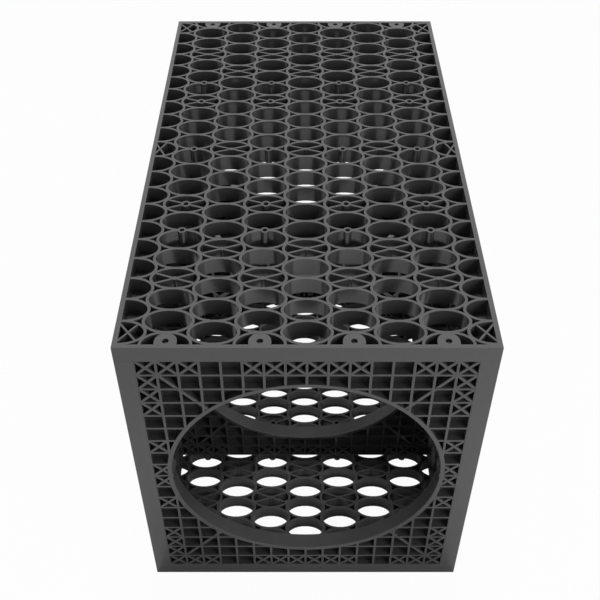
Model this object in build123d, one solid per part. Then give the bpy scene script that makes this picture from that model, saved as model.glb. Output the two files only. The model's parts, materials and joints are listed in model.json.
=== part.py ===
from build123d import *
import os

# Driving dimensions, in millimetres.
# Large plates: the top, the bottom and both sides.
plate_width = 400.0
plate_length = 715.0
plate_depth = 20.0
side_rim = 5.5
end_rim = 5.0

# Staggered columns of cells in the large plates; the rim cuts the outermost ones in half.
cell_columns = 9
cell_rows = 22
column_margin = 6.2
row_margin = 5.75
cell_wall = 2.8
cell_edge = 35.0

# Rows of the thin cross walls in the slots of the plates that face down and sideways.
slot_wall_rows = (7, 14)

# Sockets of the large plates and the pegs that stand in them; the middle row stays empty.
inner_socket_rows = (5.5, 10.5, 15.5)
peg_columns = (-3, -1, 1, 3)
socket_width = 5.7
boss_width = 10.0
pad_width = 23.6
pad_depth = 16.4
peg_clearance = 0.3
peg_recess = 3.0

# Small plates: the two ends and the two partitions.
bore_margin = 22.0
ring_wall = 5.4
web = 2.0
pocket_depth = 10.4
small_rim = 2.5
rib = 2.8
lattice_columns = 16
lattice_rows = 18
ring_sides = 16
smallest_pocket = 180.0

# Sizes that follow from the driving ones.
column_pitch = (plate_width - 2 * column_margin) / (cell_columns - 1)
row_pitch = (plate_length - 2 * row_margin) / (cell_rows - 1)
first_row = row_margin - plate_length / 2
outer_column = cell_columns // 2
crate_height = plate_width + 2 * plate_depth
small_width = plate_width - 2 * plate_depth
small_height = plate_width
bore_radius = small_width / 2 - bore_margin
ring_radius = bore_radius + ring_wall
back_pocket_depth = plate_depth - pocket_depth - web
peg_width = socket_width - 2 * peg_clearance
peg_length = plate_depth - peg_recess
peg_offsets = [column * column_pitch for column in peg_columns]
end_seat = (plate_length - plate_depth) / 2
inner_sockets = [first_row + row * row_pitch for row in inner_socket_rows]
socket_lines = [-end_seat, *inner_sockets, end_seat]
slot_walls = [first_row + row * row_pitch for row in slot_wall_rows]


def honeycomb_cell():
    """Six-sided cell with straight walls to the next cells along the plate."""
    flat = cell_edge / 2
    point = column_pitch - flat
    half_row = row_pitch / 2
    corners = [
        (point, 0),
        (flat, half_row),
        (-flat, half_row),
        (-point, 0),
        (-flat, -half_row),
        (flat, -half_row),
    ]
    return offset(make_face(Polyline(*corners, close=True)), -cell_wall / 2, kind=Kind.INTERSECTION)


def honeycomb():
    """Cells of every column; the columns without sockets start half a row further along."""
    cell = honeycomb_cell()
    cells = []
    for column in range(-outer_column, outer_column + 1):
        shifted = column not in peg_columns
        for row in range(cell_rows - shifted):
            y = first_row + (row + shifted / 2) * row_pitch
            cells.append(Pos(column * column_pitch, y) * cell)
    return cells


def slots():
    """Slots that take in several cells of a column, with a thick cross wall at each socket."""
    openings = []
    for column in range(-outer_column, outer_column + 1):
        socketed = column in peg_columns
        wall = boss_width if socketed else cell_wall
        end = (plate_length + wall) / 2
        stops = [-end, *(inner_sockets if socketed else slot_walls), end]
        for near, far in zip(stops[:-1], stops[1:]):
            slot = Rectangle(column_pitch - cell_wall, far - near - wall)
            openings.append(Pos(column * column_pitch, (near + far) / 2) * slot)
    return openings


def large_plate(openings):
    """Open plate on the XY plane, inner face down, with a socket for every peg."""
    outline = Rectangle(plate_width, plate_length)
    rim = outline - Rectangle(plate_width - 2 * side_rim, plate_length - 2 * end_rim)
    pad_centre = (plate_length - pad_depth) / 2 - end_rim
    bosses = [Pos(x, y) * Rectangle(boss_width, boss_width) for x in peg_offsets for y in inner_sockets]
    pads = [
        Pos(x, side * pad_centre) * Rectangle(pad_width, pad_depth)
        for x in peg_offsets
        for side in (-1, 1)
    ]
    sockets = [Pos(x, y) * Rectangle(socket_width, socket_width) for x in peg_offsets for y in socket_lines]
    return extrude(outline - openings + [rim] + bosses + pads - sockets, plate_depth)


def lattice_pockets(columns, rows):
    """Openings of a square lattice over a small plate, outside its ring."""
    across = small_width / columns
    along = small_height / rows
    field = Rectangle(small_width - 2 * small_rim, small_height - 2 * small_rim)
    field -= RegularPolygon(ring_radius, ring_sides, major_radius=False)
    ribs = [Pos((n - columns / 2) * across, 0) * Rectangle(rib, small_height) for n in range(1, columns)]
    ribs += [Pos(0, (n - rows / 2) * along) * Rectangle(small_width, rib) for n in range(1, rows)]
    pockets = field - ribs if ribs else field
    return [pocket for pocket in pockets.faces() if pocket.area > smallest_pocket]


def pegs():
    """Square pegs on all four edges of a small plate, at half its depth."""
    upright = Box(peg_width, peg_length, peg_width)
    level = Box(peg_length, peg_width, peg_width)
    reach = peg_length / 2
    placed = []
    for offset_along in peg_offsets:
        for side in (-1, 1):
            placed.append(Pos(offset_along, side * (small_height / 2 + reach)) * upright)
            placed.append(Pos(side * (small_width / 2 + reach), offset_along) * level)
    return placed


def small_plate(front_pockets, back_pockets):
    """Plate with a round bore and a closed web between two faces of pockets."""
    plate = extrude(Rectangle(small_width, small_height) - Circle(bore_radius), plate_depth / 2, both=True)
    front = [Pos(0, 0, plate_depth / 2) * extrude(face, -pocket_depth) for face in front_pockets]
    back = [Pos(0, 0, -plate_depth / 2) * extrude(face, back_pocket_depth) for face in back_pockets]
    return plate - front - back + pegs()


def write(name, shape):
    """One file for each piece, named after it."""
    shape.label = name
    export_step(shape, os.path.join("parts", name + ".step"))


os.makedirs("parts", exist_ok=True)

# Large plates, turned so that their inner faces meet the small plates.
middle = crate_height / 2
slotted_plate = large_plate(slots())
write("top_plate", Pos(0, 0, crate_height - plate_depth) * large_plate(honeycomb()))
write("bottom_plate", Pos(0, 0, plate_depth) * Rot(0, 180, 0) * slotted_plate)
write("left_side_plate", Pos(-small_width / 2, 0, middle) * Rot(0, -90, 0) * slotted_plate)
write("right_side_plate", Pos(small_width / 2, 0, middle) * Rot(0, 90, 0) * slotted_plate)

# Small plates, stood up with their lattice to the front.
fine_lattice = lattice_pockets(lattice_columns, lattice_rows)
plain_lattice = lattice_pockets(1, 1)
upright = Rot(90, 0, 0)
front_plate = small_plate(fine_lattice, plain_lattice)
inner_plate = small_plate(plain_lattice, plain_lattice)
write("front_end_plate", Pos(0, -end_seat, middle) * upright * front_plate)
write("partition_plate_1", Pos(0, inner_sockets[0], middle) * upright * inner_plate)
write("partition_plate_2", Pos(0, inner_sockets[-1], middle) * upright * inner_plate)
write("back_end_plate", Pos(0, end_seat, middle) * upright * inner_plate)
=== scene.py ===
import json
import math

import bmesh
import bpy
import numpy as np
from mathutils import Matrix, Vector


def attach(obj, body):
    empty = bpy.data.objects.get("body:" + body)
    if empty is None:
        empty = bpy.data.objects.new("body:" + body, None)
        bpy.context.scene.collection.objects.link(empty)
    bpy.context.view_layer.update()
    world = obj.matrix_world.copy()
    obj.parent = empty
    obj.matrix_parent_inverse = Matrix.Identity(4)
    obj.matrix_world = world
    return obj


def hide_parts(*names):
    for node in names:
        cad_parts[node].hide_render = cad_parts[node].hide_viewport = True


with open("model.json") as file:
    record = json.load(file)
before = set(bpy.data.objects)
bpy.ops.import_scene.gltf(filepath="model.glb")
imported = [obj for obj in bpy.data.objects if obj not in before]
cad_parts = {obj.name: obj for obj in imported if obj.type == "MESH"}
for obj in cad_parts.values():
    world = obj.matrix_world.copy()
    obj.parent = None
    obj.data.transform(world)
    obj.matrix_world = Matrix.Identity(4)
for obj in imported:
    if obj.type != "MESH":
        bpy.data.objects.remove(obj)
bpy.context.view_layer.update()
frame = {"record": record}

# All lengths are in metres.
# Large plates: outline, depth and solid border.
plate_width = 0.400
plate_length = 0.715
plate_depth = 0.020
side_rim = 0.0055
end_rim = 0.005
crate_height = plate_width + 2 * plate_depth

# Large plates: staggered columns of oval cells, counted in columns and in rows from one end.
last_column = 8
last_row = 21
column_pitch = 0.04845
row_pitch = 0.0335
oval_axes = np.array([0.0263, 0.01675])
cell_wall = 0.0031
outer_axes = oval_axes + cell_wall / 2
hole_axes = oval_axes - cell_wall / 2
side_columns = (0, last_column)

# Six neighbours of a cell, as steps in columns and rows.
neighbour_steps = np.array([(0, 1), (0, -1), (1, 0.5), (1, -0.5), (-1, 0.5), (-1, -0.5)])

# Large plates: what stands in and between the cells, each as (column, row).
peg_columns = (1, 3, 5, 7)
boss_rows = (5.5, 10.5, 15.5)
partition_rows = (5.5, 15.5)
end_seat = (plate_length - plate_depth) / 2
hub_cells = [(c, r) for c in peg_columns for r in (3, 18)]
hub_cells += [(c, r) for c in (2, 4, 6) for r in (4.5, 10.5, 16.5)]
ring_hub_cells = [(c, r) for c in peg_columns for r in (7, 14)]
boss_radius = 0.0052
boss_hole = 0.00285
boss_notch = 0.004
pad_radius = 0.0118
pad_hole = 0.0035
pad_foot = 0.007
hub_radius = 0.0028
ring_hub_radius = 0.0057
ring_hub_hole = 0.0031
spoke_reach = np.array([0.0218, 0.0081])
spoke_width = 0.0025
brace_width = 0.0022

# Crossed braces in half cells: row, reach from the cell's middle, spread at the border and at the tip.
side_brace_spans = (
    (0.5, 0.0170, 0.0155, 0.0112),
    (10.5, 0.0112, 0.0148, 0.0138),
    (20.5, 0.0170, 0.0155, 0.0112),
)

# Small plates: outline, web and ring.
small_width = plate_width - 2 * plate_depth
small_height = plate_width
small_rim = 0.0010
web_front = -0.0004
web_back = -0.0024
bore_radius = 0.158
ring_radius = 0.1634
ring_middle = (bore_radius + ring_radius) / 2
ring_bevel = 0.0006

# Small plates: square lattice with braced cells, counted from the top left.
lattice_columns = 16
lattice_rows = 18
rib = 0.0028
lattice_brace = 0.0033
corner_bar = 0.0037
brace_share = 0.985
braced_in_end_rows = (0, 1, 2, 5, 6, 7, 8, 9, 10, 13, 14, 15)
braced_in_side_columns = (0, 1, 2, 3, 6, 8, 9, 11, 14, 15, 16, 17)

# Pegs with a cross-shaped section.
peg_span = 0.0054
peg_arm = 0.0018
peg_length = 0.017
peg_tip = 0.002
peg_taper = 0.6

# Small steps keep crossing ribs from lying in one plane.
cell_step = 0.00015
boss_step = 0.00025
spoke_step = 0.00035
edge_bevel = 0.0001

# Samples round a curve, signs of four corners in turn, and limits for joining and smoothing.
post_sides = 12
boss_sides = 20
ring_sides = 128
corner_signs = np.array([(1, -1), (1, 1), (-1, 1), (-1, -1)])
angle_digits = 9
merge_distance = 1e-6
smooth_angle = math.radians(35)

# Plastic: part of the recorded grey is sheen, so its body is darker, and both vary a little.
body_shares = (0.47, 0.63)
plastic_ior = 1.49
roughness_low = 0.14
roughness_rise = 0.08
cloud_scale = 14.0
cloud_detail = 4.0
cloud_roughness = 0.6
cloud_share = 0.7
grain_scale = 900.0
grain_detail = 2.0
grain_roughness = 0.5
grain_depth = 0.0002
grain_strength = 0.25
cell_plate_seed = 1.0
ring_plate_seed = 7.0

# Studio: the floor's grey, what reflections add to it, how white it looks, and the world's fill.
floor_half = 4.0
floor_drop = 0.0002
floor_grey = 0.4
floor_lift = 0.5
floor_glow = 0.97
floor_shine = 0.05
world_fill = 0.15

# Studio lamps: a distant one high up behind, and square ones, each as name, power, place and target.
sun_strength = 2.7
sun_spread = math.radians(20)
sun_elevation = math.radians(72)
softbox_size = 0.8
softboxes = (
    ("left_softbox", 4.0, (-1.0, 0.2, 1.6), (0, 0, crate_height)),
    ("right_softbox", 8.0, (1.0, -1.1, 0.95), (0, -plate_length / 2, crate_height)),
)

# Camera of the photograph.
camera_place = (-0.0073, -0.9896, 1.107)
camera_pitch = math.radians(43.50)
camera_lens = 54.17
sensor_width = 36.0


def wrapped(points):
    """Solids from grids of points: each grid joins up along its profile and around."""
    count, profile, around = points.shape[:3]
    index = np.arange(count * profile * around).reshape(count, profile, around)
    beside = np.roll(index, -1, axis=2)
    quads = np.stack([index, beside, np.roll(beside, -1, axis=1), np.roll(index, -1, axis=1)], axis=-1)
    return points.reshape(-1, 3), [quads.reshape(-1, 4)]


def capped(points):
    """Solids from stacks of outlines: sides from each outline to the next, and flat ends."""
    count, levels, around = points.shape[:3]
    index = np.arange(count * levels * around).reshape(count, levels, around)
    beside = np.roll(index, -1, axis=2)
    sides = np.stack([index[:, :-1], beside[:, :-1], beside[:, 1:], index[:, 1:]], axis=-1)
    ends = np.concatenate([index[:, 0], index[:, -1]])
    return points.reshape(-1, 3), [sides.reshape(-1, 4), ends]


def raised(outlines, heights):
    """Each flat outline repeated at each height: (count, around, 2) to (count, heights, around, 3)."""
    outlines = np.asarray(outlines, float)
    count, around = outlines.shape[:2]
    points = np.empty((count, len(heights), around, 3))
    points[..., :2] = outlines[:, None]
    points[..., 2] = np.asarray(heights)[None, :, None]
    return points


def circle(sides):
    """Unit vectors at even angles round a full turn."""
    angle = np.arange(sides) * 2 * math.pi / sides
    return np.stack([np.cos(angle), np.sin(angle)], axis=-1)


def bars(starts, ends, width, low, high):
    """Straight bars: half the width to either side of the line from start to end."""
    starts, ends = np.asarray(starts, float), np.asarray(ends, float)
    along = ends - starts
    length = np.linalg.norm(along, axis=1, keepdims=True)
    across = np.stack([-along[:, 1], along[:, 0]], axis=1) / length * width / 2
    corners = np.stack([starts - across, ends - across, ends + across, starts + across], axis=1)
    return capped(raised(corners, (low, high)))


def posts(centres, radius, low, high, sides):
    """Round posts: a circle about each centre, from low to high."""
    outlines = np.asarray(centres)[:, None] + radius * circle(sides)
    return capped(raised(outlines, (low, high)))


def tubes(centres, hole, radius, low, high, sides):
    """Round tubes: the hole's circle and the outer one, each at low and at high."""
    centres = np.asarray(centres)[:, None]
    inner = raised(centres + hole * circle(sides), (low, high))
    outer = raised(centres + radius * circle(sides), (high, low))
    return wrapped(np.concatenate([inner, outer], axis=1))


def border(half_size, rims, low, high):
    """Rectangular frame: a bevelled section, set in from the outline, carried round four corners."""
    share = np.array([0, 0, 0, 1, 1, 1, 1, 0])
    bevel = np.array([0, 0, 1, -1, 0, 0, -1, 1]) * edge_bevel
    inset = share[:, None] * np.asarray(rims) + bevel[:, None]
    lift = np.array([1, -1, 0, 0, -1, 1, 0, 0]) * edge_bevel
    height = np.array([low, high, high, high, high, low, low, low]) + lift
    points = np.empty((1, len(share), len(corner_signs), 3))
    points[0, ..., :2] = (np.asarray(half_size) - inset)[:, None] * corner_signs
    points[0, ..., 2] = height[:, None]
    return wrapped(points)


def cell_place(columns, rows):
    """Middle of the cell in a column and row, about the middle of the plate."""
    columns, rows = np.asarray(columns, float), np.asarray(rows, float)
    return np.stack(
        [(columns - last_column / 2) * column_pitch, (rows - last_row / 2) * row_pitch], axis=-1
    )


def places(cells):
    """Middles of several cells, given as (column, row)."""
    columns, rows = np.array(cells, float).T
    return cell_place(columns, rows)


def all_cells():
    """Column and row of every cell: the columns at even places start half a row later."""
    columns, rows = np.meshgrid(np.arange(last_column + 1), np.arange(last_row + 1), indexing="ij")
    shifted = rows + 0.5 * (columns % 2 == 0)
    inside = shifted <= last_row
    return columns[inside].astype(float), shifted[inside]


def has_cell(columns, rows):
    """True where the plate has a cell in that column and row."""
    first = 0.5 * (columns % 2 == 0)
    return (columns >= 0) & (columns <= last_column) & (rows >= first) & (rows <= last_row - first)


def neighbours():
    """Direction and distance of each neighbour, in a scale where the outer oval is a unit circle."""
    apart = neighbour_steps * (column_pitch, row_pitch) / outer_axes
    distance = np.linalg.norm(apart, axis=1)
    return apart / distance[:, None], distance


def quarter_angles(towards, distance):
    """Angles in one quarter of a cell: free arcs, meeting lines, and the edge of a boss."""
    slant = math.atan2(towards[2, 1], towards[2, 0])
    slant_reach = math.acos(distance[2] / 2)
    flat_reach = math.pi / 2 - math.acos(distance[0] / 2)
    arcs = [0, slant - slant_reach, slant, slant + slant_reach, flat_reach]
    arcs += [arcs[1] / 2, (arcs[3] + flat_reach) / 2, math.acos(boss_notch / outer_axes[0])]
    return np.sort(arcs)


def cell_directions(quarter):
    """Unit vectors at the angles of one quarter and at their mirror images."""
    turns = np.concatenate([quarter, math.pi - quarter, math.pi + quarter, -quarter])
    angle = np.unique(np.round(turns % (2 * math.pi), angle_digits))
    return np.stack([np.cos(angle), np.sin(angle)], axis=-1)


def kept_stretches(columns, rows, unit, ahead, sink):
    """Stretches between samples that are there: half cells at the border, and room for bosses."""
    notch = boss_notch / outer_axes[0] + merge_distance
    to_left = np.maximum(unit[:, 0], ahead[:, 0]) < notch
    to_right = np.minimum(unit[:, 0], ahead[:, 0]) > -notch
    upward = np.minimum(unit[:, 1], ahead[:, 1]) > -sink
    downward = np.maximum(unit[:, 1], ahead[:, 1]) < sink
    at_peg = np.isin(columns, peg_columns)
    boss_above = at_peg & np.isin(rows + 0.5, boss_rows)
    boss_below = at_peg & np.isin(rows - 0.5, boss_rows)
    present = np.ones((len(columns), len(unit)), bool)
    for cells, kept in (
        (columns == 0, to_right),
        (columns == last_column, to_left),
        (rows == 0, upward),
        (rows == last_row, downward),
        (boss_above, ~(to_left & to_right & (unit[:, 1] > 0))),
        (boss_below, ~(to_left & to_right & (unit[:, 1] < 0))),
    ):
        present &= ~cells[:, None] | kept
    return present


def strip_faces(index, present, walled):
    """Faces of the cells' strips: top, bottom, hole, outer wall where it is free, and cut ends."""
    beside = np.roll(index, -1, axis=1)
    hole_high, hole_low, outer_high, outer_low = range(index.shape[2])

    def strip(first, second, where):
        quad = [index[..., first], index[..., second], beside[..., second], beside[..., first]]
        return np.stack(quad, axis=-1)[where]

    cut = present != np.roll(present, 1, axis=1)
    return [
        strip(hole_high, outer_high, present),
        strip(hole_low, outer_low, present),
        strip(hole_high, hole_low, present),
        strip(outer_high, outer_low, present & walled),
        index[cut][:, [hole_high, outer_high, outer_low, hole_low]],
    ]


def oval_cells():
    """Walls of the cells. Each cell is a strip between an oval hole and an outer oval.

    In a scale where the outer oval is a unit circle, that circle is cut back to the
    half-way line to each neighbour, so neighbouring strips share that line.
    """
    towards, distance = neighbours()
    quarter = quarter_angles(towards, distance)
    unit = cell_directions(quarter)
    ahead = np.roll(unit, -1, axis=0)

    # Outer outline of each cell.
    columns, rows = all_cells()
    met = has_cell(columns[:, None] + neighbour_steps[:, 0], rows[:, None] + neighbour_steps[:, 1])
    beyond = np.maximum(unit @ towards.T - distance / 2, 0)
    outer = unit - np.einsum("ck,sk,kd->csd", met, beyond, towards)

    # Which stretches between samples are there, and which of them need an outer wall.
    sink = math.sin(quarter[1]) + merge_distance
    present = kept_stretches(columns, rows, unit, ahead, sink)
    on_line = unit @ towards.T > distance / 2 - merge_distance
    on_line &= ahead @ towards.T > distance / 2 - merge_distance
    walled = ~np.any(met[:, None] & on_line, axis=2)

    # Four corners at each sample: hole and outer outline, each at the top and the bottom.
    low, high = cell_step, plate_depth - cell_step
    centres = cell_place(columns, rows)[:, None]
    hole = np.broadcast_to(centres + unit * hole_axes, outer.shape)
    edge = centres + outer * outer_axes
    outlines = np.stack([hole, hole, edge, edge], axis=2)
    heights = np.broadcast_to((high, low, high, low), outlines.shape[:3])
    points = np.concatenate([outlines, heights[..., None]], axis=-1)
    index = np.arange(heights.size).reshape(heights.shape)
    return points.reshape(-1, 3), strip_faces(index, present, walled)


def end_pads():
    """Peg pads at both ends: a round head on a straight foot that runs into the border."""
    unit = circle(boss_sides)
    foot = np.maximum(np.abs(unit[:, 0]) / pad_radius, np.abs(unit[:, 1]) / pad_foot)
    reach = np.where(unit[:, 1] < 0, 1 / foot, pad_radius)
    across = cell_place(peg_columns, np.zeros(len(peg_columns)))[:, 0]
    low, high = boss_step, plate_depth - boss_step
    outlines = []
    for side in (-1, 1):
        centres = np.stack([across, np.full(len(across), side * end_seat)], axis=-1)[:, None]
        turned = unit * (1, -side)
        inner = raised(centres + turned * pad_hole, (low, high))
        outer = raised(centres + turned * reach[:, None], (high, low))
        outlines.append(np.concatenate([inner, outer], axis=1))
    return wrapped(np.concatenate(outlines))


def peg_bosses():
    """Round sockets in the walls between two cells."""
    centres = places([(column, row) for column in peg_columns for row in boss_rows])
    return tubes(centres, boss_hole, boss_radius, boss_step, plate_depth - boss_step, boss_sides)


def hubs():
    """Posts and open rings in the middle of the spoked cells."""
    low, high = boss_step, plate_depth - boss_step
    solid = posts(places(hub_cells), hub_radius, low, high, post_sides)
    hollow = tubes(places(ring_hub_cells), ring_hub_hole, ring_hub_radius, low, high, boss_sides)
    return solid, hollow


def spokes():
    """Four walls from each hub to the slanting sides of its cell."""
    low, high = spoke_step, plate_depth - spoke_step
    way = corner_signs * spoke_reach
    unit = way / np.linalg.norm(spoke_reach)
    made = []
    in_ring = (ring_hub_hole + ring_hub_radius) / 2
    for cells, start in ((hub_cells, hub_radius / 2), (ring_hub_cells, in_ring)):
        centres = places(cells)[:, None]
        starts = (centres + unit * start).reshape(-1, 2)
        ends = (centres + way).reshape(-1, 2)
        made.append(bars(starts, ends, spoke_width, low, high))
    return made


def side_braces():
    """Crossed bars in some of the half cells along both sides."""
    low, high = spoke_step, plate_depth - spoke_step
    inner = plate_width / 2 - side_rim / 2
    starts, ends = [], []
    for row, reach, root, tip in side_brace_spans:
        for column, side in zip(side_columns, (-1, 1)):
            x, y = cell_place(column, row)
            for way in (-1, 1):
                starts.append((side * inner, y + way * root))
                ends.append((x - side * reach, y - way * tip))
    first = bars(starts[::2], ends[::2], brace_width, low, high)
    second = bars(starts[1::2], ends[1::2], brace_width, low + cell_step, high - cell_step)
    return first, second


def large_plate():
    """Parts of one large plate, flat, with its inner face at zero."""
    rim = border((plate_width / 2, plate_length / 2), (side_rim, end_rim), 0, plate_depth)
    return [rim, oval_cells(), end_pads(), peg_bosses(), *hubs(), *spokes(), *side_braces()]


def ring():
    """Ring round the bore: a section with bevelled edges turned about the middle."""
    half = plate_depth / 2
    section = np.array([
        (bore_radius, ring_bevel - half),
        (bore_radius, half - ring_bevel),
        (bore_radius + ring_bevel, half),
        (ring_radius - edge_bevel, half),
        (ring_radius, half - edge_bevel),
        (ring_radius, edge_bevel - half),
        (ring_radius - edge_bevel, -half),
        (bore_radius + ring_bevel, -half),
    ])
    points = np.empty((1, len(section), ring_sides, 3))
    points[0, ..., :2] = section[:, None, :1] * circle(ring_sides)
    points[0, ..., 2] = section[:, 1:]
    return wrapped(points)


def web():
    """Closed floor of the lattice: from a circle in the ring's wall to a rectangle in the border."""
    half = np.array([small_width, small_height]) / 2 - small_rim / 2
    corners = corner_signs * half
    per_side = ring_sides // len(corners)
    share = (np.arange(per_side) / per_side)[:, None]
    sides = corners[:, None] * (1 - share) + np.roll(corners, -1, axis=0)[:, None] * share
    outer = sides.reshape(1, -1, 2)
    inner = outer / np.linalg.norm(outer, axis=2, keepdims=True) * ring_middle
    levels = (web_back, web_front)
    return wrapped(np.concatenate([raised(inner, levels), raised(outer, levels[::-1])], axis=1))


def lattice_lines(count, size):
    """Offsets of the inner lines that divide a side into equal cells."""
    return (np.arange(1, count) / count - 0.5) * size


def ribs():
    """Straight ribs of the lattice: whole beside the ring, in two lengths where they meet it."""
    made = []
    across = lattice_lines(lattice_columns, small_width)
    along = lattice_lines(lattice_rows, small_height)
    for offsets, edge, upright, step in (
        (across, small_height / 2, True, cell_step),
        (along, small_width / 2, False, boss_step),
    ):
        half = plate_depth / 2 - step
        reach = edge - small_rim / 2
        gap = np.sqrt(np.maximum(ring_middle**2 - offsets**2, 0))
        whole = gap == 0
        lines = [(offsets[whole], np.full(whole.sum(), -reach), np.full(whole.sum(), reach))]
        for side in (-1, 1):
            stops = np.full((~whole).sum(), side * reach)
            lines.append((offsets[~whole], side * gap[~whole], stops))
        for offset, start, end in lines:
            starts, ends = np.stack([offset, start], axis=-1), np.stack([offset, end], axis=-1)
            if not upright:
                starts, ends = starts[:, ::-1], ends[:, ::-1]
            made.append(bars(starts, ends, rib, -half, half))
    return made


def lattice_braces():
    """Crossed bars in the braced cells, and four bars from the corners towards the middle."""
    across, along = small_width / lattice_columns, small_height / lattice_rows
    end_cells = [(c, r) for c in braced_in_end_rows for r in (0, lattice_rows - 1)]
    side_cells = [(c, r) for c in (0, lattice_columns - 1) for r in braced_in_side_columns]
    cells = np.array(sorted(set(end_cells + side_cells)), float)
    size = np.array([across, along])
    centres = (cells + 0.5 - np.array([lattice_columns, lattice_rows]) / 2) * size
    made = []
    for slope, step in ((1, spoke_step), (-1, spoke_step + cell_step)):
        reach = brace_share * size / 2 * (1, slope)
        half = plate_depth / 2 - step
        made.append(bars(centres - reach, centres + reach, lattice_brace, -half, half))
    node = np.array([small_width / 2 - across, small_height / 2 - along])
    corners = corner_signs * node
    stops = corners / np.linalg.norm(node) * ring_middle
    half = plate_depth / 2 - spoke_step - 2 * cell_step
    made.append(bars(corners, stops, corner_bar, -half, half))
    return made


def pegs():
    """Cross-shaped pegs on all four edges: two crossing flat bars with a tapered tip."""
    offsets = cell_place(peg_columns, np.zeros(len(peg_columns)))[:, 0]
    levels = np.array([-small_rim / 2, peg_length - peg_tip, peg_length])
    taper = np.array([1, 1, peg_taper])
    made = []
    for size in ((peg_span, peg_arm), (peg_arm, peg_span)):
        outline = corner_signs * size / 2 * taper[:, None, None]
        for edge, upright in ((small_height / 2, True), (small_width / 2, False)):
            for side in (-1, 1):
                across, along = (0, 1) if upright else (1, 0)
                points = np.empty((len(offsets), len(levels), len(corner_signs), 3))
                points[..., across] = offsets[:, None, None] + outline[None, ..., 0]
                points[..., along] = (side * (edge + levels))[None, :, None]
                points[..., 2] = outline[None, ..., 1]
                made.append(capped(points))
    return made


def small_plate():
    """Parts of one small plate, flat, with its front upwards and its middle at zero."""
    half = plate_depth / 2
    rim = border((small_width / 2, small_height / 2), (small_rim, small_rim), -half, half)
    return [rim, web(), ring(), *ribs(), *lattice_braces(), *pegs()]


def plate_mesh(name, parts):
    """One mesh from several parts, its doubles merged and its faces turned outwards."""
    points = np.concatenate([part[0] for part in parts])
    starts = np.cumsum([0] + [len(part[0]) for part in parts])
    faces = []
    for (_, blocks), start in zip(parts, starts):
        for block in blocks:
            faces += (block + start).tolist()
    mesh = bpy.data.meshes.new(name)
    mesh.from_pydata(points.tolist(), [], faces)
    work = bmesh.new()
    work.from_mesh(mesh)
    bmesh.ops.remove_doubles(work, verts=work.verts, dist=merge_distance)
    unused = [vertex for vertex in work.verts if not vertex.link_faces]
    bmesh.ops.delete(work, geom=unused, context="VERTS")
    bmesh.ops.recalc_face_normals(work, faces=work.faces)
    work.to_mesh(mesh)
    work.free()
    mesh.polygons.foreach_set("use_smooth", np.ones(len(mesh.polygons), bool))
    mesh.set_sharp_from_angle(angle=smooth_angle)
    return mesh


def place_plate(mesh, node, axes, origin, material):
    """Copy of a plate's mesh in the place of a CAD node; axes are its own three in the crate."""
    placed = mesh.copy()
    placed.name = node + "_mesh"
    turn = Matrix(axes).transposed().to_4x4()
    placed.transform(Matrix.Translation(origin) @ turn)
    placed.materials.clear()
    placed.materials.append(material)
    piece = bpy.data.objects.new(node + "_moulding", placed)
    bpy.context.scene.collection.objects.link(piece)
    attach(piece, "root")
    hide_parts(node)


class Value:
    """Output of a shader node that takes part in plain arithmetic."""

    def __init__(self, graph, socket):
        self.graph = graph
        self.socket = socket

    def maths(self, operation, first, second):
        return self.graph.node("ShaderNodeMath", {"operation": operation}, {0: first, 1: second})

    def __add__(self, other):
        return self.maths("ADD", self, other)

    def __radd__(self, other):
        return self.maths("ADD", other, self)

    def __mul__(self, other):
        return self.maths("MULTIPLY", self, other)

    def __rmul__(self, other):
        return self.maths("MULTIPLY", other, self)


class Graph:
    """Node tree of a material or of the world."""

    def __init__(self, owner):
        owner.use_nodes = True
        self.tree = owner.node_tree
        self.tree.nodes.clear()

    def node(self, kind, settings=None, inputs=None, output=0):
        """New node: its settings first, then the values and links of its sockets."""
        made = self.tree.nodes.new(kind)
        for name, value in (settings or {}).items():
            setattr(made, name, value)
        for name, value in (inputs or {}).items():
            if isinstance(value, Value):
                self.tree.links.new(value.socket, made.inputs[name])
            else:
                made.inputs[name].default_value = value
        return Value(self, made.outputs[output]) if made.outputs else made


def noise(graph, place, seed, scale, detail, roughness):
    """Noise in four dimensions, with the seed as the fourth."""
    inputs = {"Vector": place, "W": seed, "Scale": scale, "Detail": detail, "Roughness": roughness}
    return graph.node("ShaderNodeTexNoise", {"noise_dimensions": "4D"}, inputs)


def moulded_plastic(name, colour, seed):
    """Matt moulded plastic: cloudy tone, fine grain, and a dull sheen that varies."""
    material = bpy.data.materials.new(name)
    graph = Graph(material)
    place = graph.node("ShaderNodeTexCoord", output="Object")
    clouds = noise(graph, place, seed, cloud_scale, cloud_detail, cloud_roughness)
    grain = noise(graph, place, seed, grain_scale, grain_detail, grain_roughness)
    tone = cloud_share * clouds + (1 - cloud_share) * grain
    dark, light = [[share * channel for channel in colour] + [1.0] for share in body_shares]
    base = graph.node(
        "ShaderNodeMix", {"data_type": "RGBA"}, {0: tone, 6: dark, 7: light}, output=2
    )
    normal = graph.node(
        "ShaderNodeBump", None, {"Strength": grain_strength, "Distance": grain_depth, "Height": grain}
    )
    shader = graph.node(
        "ShaderNodeBsdfPrincipled",
        None,
        {
            "Base Color": base,
            "Roughness": roughness_low + roughness_rise * clouds,
            "Normal": normal,
            "IOR": plastic_ior,
        },
    )
    graph.node("ShaderNodeOutputMaterial", None, {"Surface": shader})
    return material


def ray_shares(graph, camera=0, glossy=0, transmission=0):
    """Share for a ray from the camera, for a reflected one and for one through glass."""
    kinds = (("Is Camera Ray", camera), ("Is Glossy Ray", glossy), ("Is Transmission Ray", transmission))
    parts = [share * graph.node("ShaderNodeLightPath", output=name) for name, share in kinds]
    return parts[0] + parts[1] + parts[2]


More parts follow.
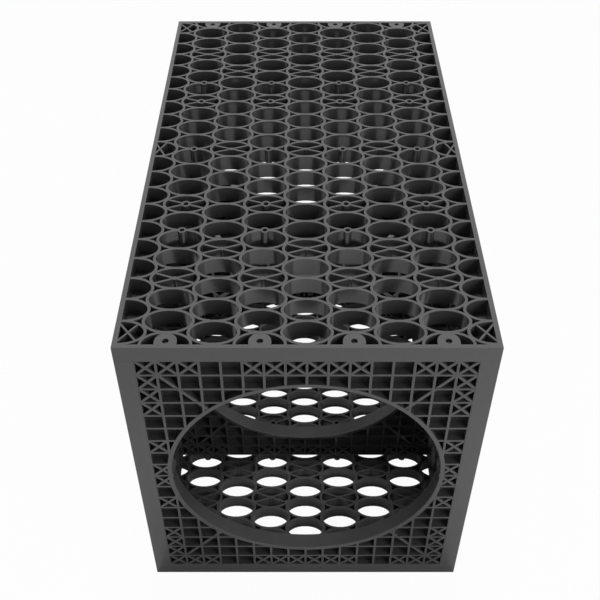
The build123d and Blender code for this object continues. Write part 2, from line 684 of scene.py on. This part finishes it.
def studio_floor():
    """Pale floor that looks white to the camera, with a faint shadow of the crate on it."""
    mesh = bpy.data.meshes.new("studio_floor")
    corners = np.array([(-1, -1), (1, -1), (1, 1), (-1, 1)]) * floor_half
    mesh.from_pydata([(x, y, -floor_drop) for x, y in corners.tolist()], [], [(0, 1, 2, 3)])
    material = bpy.data.materials.new("pale_floor")
    graph = Graph(material)
    grey = floor_grey + ray_shares(graph, glossy=floor_lift)
    matt = graph.node("ShaderNodeBsdfDiffuse", None, {"Color": grey})
    glow = graph.node("ShaderNodeEmission", None, {"Color": (1, 1, 1, 1), "Strength": 1.0})
    share = ray_shares(graph, floor_glow, floor_shine, floor_glow)
    surface = graph.node("ShaderNodeMixShader", None, {0: share, 1: matt, 2: glow})
    graph.node("ShaderNodeOutputMaterial", None, {"Surface": surface})
    mesh.materials.append(material)
    floor = bpy.data.objects.new("studio_floor", mesh)
    bpy.context.scene.collection.objects.link(floor)


def studio_world():
    """White surroundings: full white where they are seen, a dimmer fill on the crate."""
    world = bpy.data.worlds.new("studio_world")
    bpy.context.scene.world = world
    graph = Graph(world)
    strength = world_fill + (1 - world_fill) * ray_shares(graph, 1, 1, 1)
    light = graph.node("ShaderNodeBackground", None, {"Color": (1, 1, 1, 1), "Strength": strength})
    graph.node("ShaderNodeOutputWorld", None, {"Surface": light})


def add_lamp(name, kind, strength):
    """New lamp in the scene, which isn't seen itself, nor as a glare on the plastic."""
    data = bpy.data.lights.new(name, kind)
    data.energy = strength
    lamp = bpy.data.objects.new(name, data)
    lamp.visible_camera = False
    lamp.visible_glossy = False
    bpy.context.scene.collection.objects.link(lamp)
    return lamp


def high_sun():
    """Soft distant lamp, high up behind the crate."""
    lamp = add_lamp("high_sun", "SUN", sun_strength)
    lamp.data.angle = sun_spread
    lamp.rotation_euler = (sun_elevation - math.pi / 2, 0, 0)


def softbox(name, power, place, target):
    """Square lamp that faces its target."""
    lamp = add_lamp(name, "AREA", power)
    lamp.data.size = softbox_size
    lamp.location = place
    lamp.rotation_euler = (Vector(target) - Vector(place)).to_track_quat("-Z", "Y").to_euler()


def photograph_camera():
    """Camera where the photograph was taken from, level and square to the front."""
    data = bpy.data.cameras.new("camera")
    data.sensor_width = sensor_width
    data.lens = camera_lens
    camera = bpy.data.objects.new("camera", data)
    camera.location = camera_place
    camera.rotation_euler = (math.pi / 2 - camera_pitch, 0, 0)
    bpy.context.scene.collection.objects.link(camera)
    bpy.context.scene.camera = camera


# Finishes, in the record's colours.
colours = {entry["slot"]: entry["base_color"] for entry in frame["record"]["materials"]}
cell_finish = moulded_plastic("cell_plate_plastic", colours["cell_plates"], cell_plate_seed)
ring_finish = moulded_plastic("ring_plate_plastic", colours["ring_plates"], ring_plate_seed)

# Large plates: own axes across, along and outwards, and the middle of the inner face.
large = plate_mesh("large_plate", large_plate())
inner_height, inner_width = crate_height - plate_depth, small_width / 2
middle = crate_height / 2
for node, axes, origin in (
    ("top_plate", [(1, 0, 0), (0, 1, 0), (0, 0, 1)], (0, 0, inner_height)),
    ("bottom_plate", [(-1, 0, 0), (0, 1, 0), (0, 0, -1)], (0, 0, plate_depth)),
    ("left_side_plate", [(0, 0, 1), (0, 1, 0), (-1, 0, 0)], (-inner_width, 0, middle)),
    ("right_side_plate", [(0, 0, -1), (0, 1, 0), (1, 0, 0)], (inner_width, 0, middle)),
):
    place_plate(large, node, axes, origin, cell_finish)

# Small plates: upright, with the lattice to the front.
small = plate_mesh("small_plate", small_plate())
upright = [(1, 0, 0), (0, 0, 1), (0, -1, 0)]
partition_seats = [(row - last_row / 2) * row_pitch for row in partition_rows]
for node, seat in (
    ("front_end_plate", -end_seat),
    ("partition_plate_1", partition_seats[0]),
    ("partition_plate_2", partition_seats[1]),
    ("back_end_plate", end_seat),
):
    place_plate(small, node, upright, (0, seat, middle), ring_finish)

studio_floor()
studio_world()
high_sun()
for lamp_values in softboxes:
    softbox(*lamp_values)
photograph_camera()
bpy.context.scene.view_settings.view_transform = "Standard"
